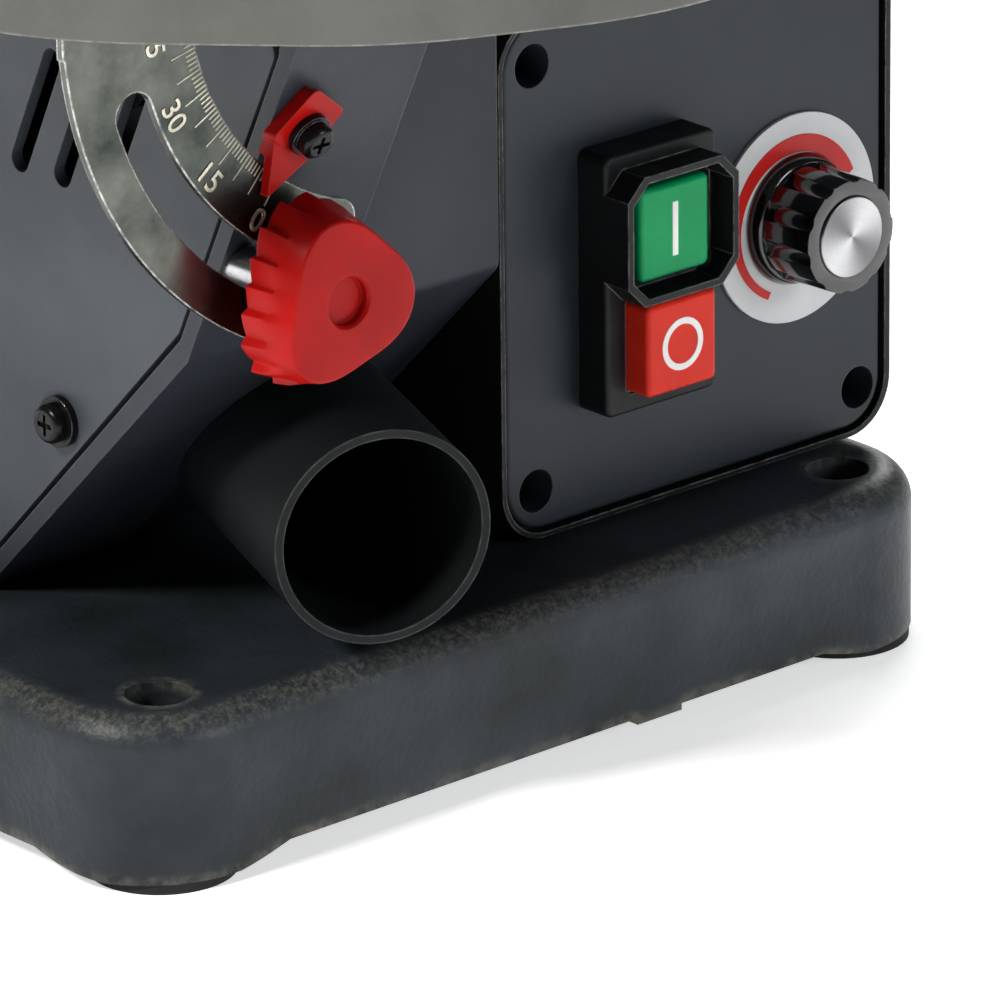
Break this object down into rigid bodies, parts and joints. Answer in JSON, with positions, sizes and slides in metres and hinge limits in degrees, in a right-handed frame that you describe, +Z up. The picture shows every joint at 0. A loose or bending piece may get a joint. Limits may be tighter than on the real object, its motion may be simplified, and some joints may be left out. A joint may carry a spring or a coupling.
{
  "type": "scroll saw",
  "caption": "Benchtop scroll saw: C-frame with rocking arms and upright blade, tilting table with degree scale and clamp knob, dust port, and front control box on a cast base.",
  "frame": {"origin": "middle of the four bench bolt holes, on the surface that the feet stand on", "axes": "+Z up, +Y from the operator's side to the rear, +X to the operator's right"},
  "size_m": [0.2764, 0.6237, 0.356],
  "materials": {
    "cast_dark": "rough cast, dark grey paint",
    "cover_grey": "satin grey paint",
    "panel_grey": "fine satin plastic",
    "table_grey": "satin warm grey",
    "aluminium": "cast, satin",
    "steel": "turned steel",
    "zinc": "bright plated sheet",
    "black_screw": "black oxide",
    "red_plastic": "moulded red plastic",
    "black_plastic": "moulded black plastic",
    "black_gloss": "gloss black plastic",
    "chrome": "spun bright metal",
    "rubber": "matte rubber",
    "green_button": "gloss green plastic",
    "red_button": "gloss red plastic",
    "clear_cap": "clear soft plastic",
    "dial_grey": "printed light grey ring",
    "brass": "sintered bronze",
    "copper": "copper windings and steel core",
    "board": "circuit board"
  },
  "bodies": {
    "machine": {"base_casting": "cast_dark", "rubber_feet": "rubber", "lower_housing": "cast_dark", "side_cover": "cover_grey", "cover_screws": "black_screw", "cover_washers": "steel", "rear_column": "cast_dark", "column_bolts": "black_screw", "arm_pivot_pins": "steel", "upper_arm_housing": "cast_dark", "motor_can": "black_plastic", "motor_end_cap": "black_plastic", "motor_bearings": "steel", "motor_stator": "copper", "tilt_brackets": "steel", "tilt_pins": "steel", "pointer": "red_plastic", "pointer_screw": "black_screw", "clamp_stud": "steel", "clamp_washer": "black_plastic", "dust_port": "black_plastic", "control_box": "cast_dark", "control_panel": "panel_grey", "panel_screws": "black_screw", "switch_housing": "black_plastic", "speed_dial": "dial_grey", "speed_potentiometer": "black_plastic", "speed_circuit_board": "board", "cord_gland": "black_plastic"},
    "table": {"table_top": "table_grey", "table_insert": "red_plastic", "table_lugs": "aluminium", "table_screws": "black_screw", "tilt_scale": "zinc"},
    "clamp_knob": {"clamp_knob": "red_plastic"},
    "start_button": {"start_button": "green_button", "start_button_cap": "clear_cap"},
    "stop_button": {"stop_button": "red_button", "stop_button_cap": "clear_cap"},
    "speed_knob": {"speed_knob": "black_gloss", "speed_knob_cap": "chrome", "potentiometer_spindle": "steel"},
    "hold_down": {"hold_down_rod": "steel", "hold_down_foot": "zinc"},
    "hold_down_knob": {"hold_down_knob": "red_plastic"},
    "lower_arm": {"lower_arm": "aluminium", "lower_arm_bushes": "brass"},
    "upper_arm": {"upper_arm": "aluminium", "upper_arm_bushes": "brass"},
    "connecting_rod": {"connecting_rod": "aluminium"},
    "blade_set": {"blade": "steel", "lower_blade_clamp": "steel", "upper_blade_clamp": "steel"},
    "lower_clamp_screw": {"lower_clamp_screw": "black_screw"},
    "upper_clamp_screw": {"upper_clamp_screw": "black_screw"},
    "tension_rod": {"tension_rod": "steel"},
    "tension_knob": {"tension_knob": "red_plastic"},
    "crank": {"crank_disc": "steel", "motor_shaft": "steel", "motor_rotor": "steel"}
  },
  "joints": [
    {"name": "table_tilt", "type": "hinge", "parent": "machine", "child": "table", "pos_m": [-0.046, -0.21, 0.1852], "axis": [0, -1, 0], "range_deg": [0, 45]},
    {"name": "clamp_knob_turn", "type": "hinge", "parent": "machine", "child": "clamp_knob", "pos_m": [-0.07511, -0.28, 0.1222], "axis": [0, -1, 0], "range_deg": [0, 360]},
    {"name": "start_button_press", "type": "slide", "parent": "machine", "child": "start_button", "axis": [0, 1, 0], "range_m": [0, 0.003], "stiffness_N_per_m": 500},
    {"name": "stop_button_press", "type": "slide", "parent": "machine", "child": "stop_button", "axis": [0, 1, 0], "range_m": [0, 0.003], "stiffness_N_per_m": 500},
    {"name": "speed_knob_turn", "type": "hinge", "parent": "machine", "child": "speed_knob", "pos_m": [0.0874, -0.25, 0.0886], "axis": [0, 1, 0], "range_deg": [0, 270]},
    {"name": "hold_down_slide", "type": "slide", "parent": "machine", "child": "hold_down", "axis": [0, 0, 1], "range_m": [-0.024, 0.006]},
    {"name": "hold_down_knob_turn", "type": "hinge", "parent": "machine", "child": "hold_down_knob", "pos_m": [-0.046, -0.26, 0.3], "axis": [0, -1, 0], "range_deg": [0, 360]},
    {"name": "lower_arm_rock", "type": "hinge", "parent": "machine", "child": "lower_arm", "pos_m": [-0.046, 0.215, 0.131], "axis": [-1, 0, 0], "range_deg": [-1.34, 1.34]},
    {"name": "upper_arm_rock", "type": "hinge", "parent": "machine", "child": "upper_arm", "pos_m": [-0.046, 0.215, 0.303], "axis": [-1, 0, 0], "range_deg": [-1.35, 1.35]},
    {"name": "connecting_rod_swing", "type": "hinge", "parent": "lower_arm", "child": "connecting_rod", "pos_m": [-0.034, -0.062, 0.131], "axis": [-1, 0, 0], "range_deg": [-1.35, 1.35]},
    {"name": "blade_stroke", "type": "slide", "parent": "machine", "child": "blade_set", "axis": [0, 0, 1], "range_m": [-0.01, 0.01]},
    {"name": "lower_clamp_screw_turn", "type": "hinge", "parent": "blade_set", "child": "lower_clamp_screw", "pos_m": [-0.056, -0.21, 0.144], "axis": [-1, 0, 0], "range_deg": [0, 360]},
    {"name": "upper_clamp_screw_turn", "type": "hinge", "parent": "blade_set", "child": "upper_clamp_screw", "pos_m": [-0.056, -0.21, 0.267], "axis": [-1, 0, 0], "range_deg": [0, 360]},
    {"name": "tension_rod_slide", "type": "slide", "parent": "machine", "child": "tension_rod", "axis": [0, 0, 1], "range_m": [-0.0009, 0.0009]},
    {"name": "tension_knob_turn", "type": "hinge", "parent": "tension_rod", "child": "tension_knob", "pos_m": [-0.046, 0.25, 0.343], "axis": [0, 0, 1], "range_deg": [-360, 360]},
    {"name": "crank_spin", "type": "hinge", "parent": "machine", "child": "crank", "pos_m": [0, -0.062, 0.079], "axis": [1, 0, 0], "continuous": true}
  ],
  "couplings": [
    {"joint": "upper_arm_rock", "follows": "lower_arm_rock", "ratio": 1},
    {"joint": "blade_stroke", "follows": "lower_arm_rock", "m_per_rad": 0.425},
    {"joint": "tension_rod_slide", "follows": "lower_arm_rock", "m_per_rad": -0.035},
    {"joint": "connecting_rod_swing", "follows": "lower_arm_rock", "ratio": -1}
  ]
}
